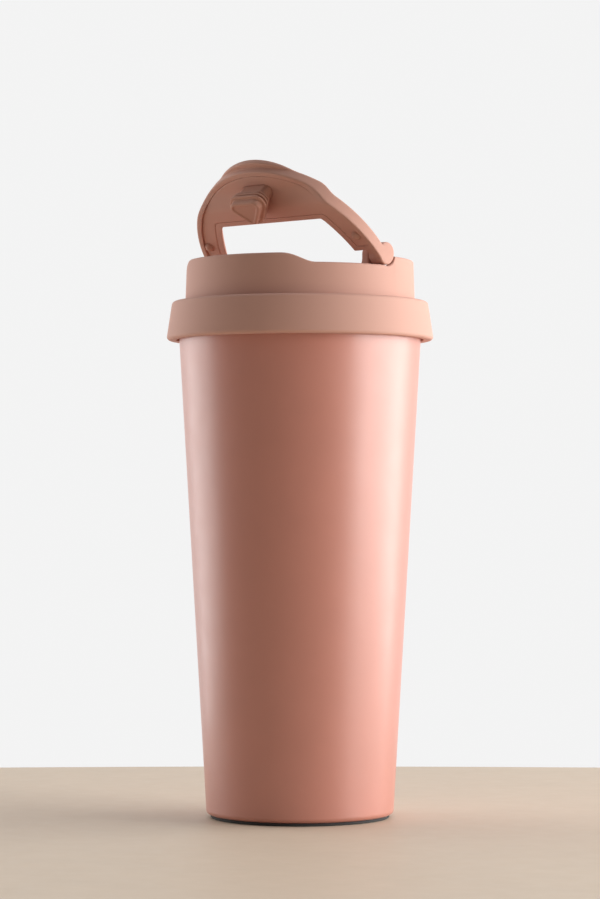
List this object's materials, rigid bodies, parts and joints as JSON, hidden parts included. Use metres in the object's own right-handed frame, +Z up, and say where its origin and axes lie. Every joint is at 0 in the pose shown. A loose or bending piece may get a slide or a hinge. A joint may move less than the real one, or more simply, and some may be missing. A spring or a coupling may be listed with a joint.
{
  "type": "insulated tumbler with lid",
  "caption": "Tapered insulated steel tumbler with a screw lid, a wide collar and a half-round flip-up carry handle that carries the stopper of the sip opening.",
  "frame": {"origin": "centre of the foot pad on the table plane, on the vessel's axis", "axes": "+Z up along the vessel's axis, -Y towards the drinking side and the closed handle, X along the handle's hinge pins"},
  "size_m": [0.0936, 0.0936, 0.2289],
  "materials": {
    "painted_steel": "satin, coral rose powder coat",
    "bare_steel": "fine brushed",
    "lid_plastic": "matt dusty rose",
    "collar_plastic": "matt dusty rose, fine grain",
    "handle_plastic": "matt dusty rose",
    "rose_silicone": "soft matt silicone",
    "inner_plastic": "plain moulded",
    "dark_silicone": "soft matt silicone",
    "nylon": "plain moulded",
    "copper_foil": "rolled foil",
    "foam": "light insulating disc",
    "getter_metal": "sintered"
  },
  "bodies": {
    "vessel": {"outer_shell": "painted_steel", "inner_liner": "bare_steel", "bottom_plate": "bare_steel", "vacuum_seal": "bare_steel", "getter": "getter_metal", "radiation_foil": "copper_foil", "foot_pad": "dark_silicone"},
    "gasket": {"lid_gasket": "rose_silicone"},
    "lid": {"lid_collar": "collar_plastic", "lid_rim": "lid_plastic", "lid_plug": "inner_plastic", "lid_insulation": "foam", "vent_valve": "rose_silicone", "hinge_pin_left": "bare_steel", "hinge_pin_right": "bare_steel"},
    "handle": {"handle_shell": "handle_plastic", "handle_plate": "handle_plastic", "hinge_bush_left": "nylon", "hinge_bush_right": "nylon", "friction_washer_left": "nylon", "friction_washer_right": "nylon", "stopper": "rose_silicone", "stopper_core": "inner_plastic", "click_nubs": "rose_silicone"}
  },
  "joints": [
    {"name": "lid_lift", "type": "slide", "parent": "vessel", "child": "gasket", "axis": [0, 0, 1], "range_m": [0, 0.03]},
    {"name": "lid_turn", "type": "hinge", "parent": "gasket", "child": "lid", "pos_m": [0, 0, 0.176], "axis": [0, 0, 1], "range_deg": [0, 900]},
    {"name": "handle_flip", "type": "hinge", "parent": "lid", "child": "handle", "pos_m": [0, 0, 0.196], "axis": [-1, 0, 0], "range_deg": [-46, 114]}
  ],
  "couplings": [
    {"joint": "lid_turn", "follows": "lid_lift", "rad_per_m": 523.6}
  ]
}
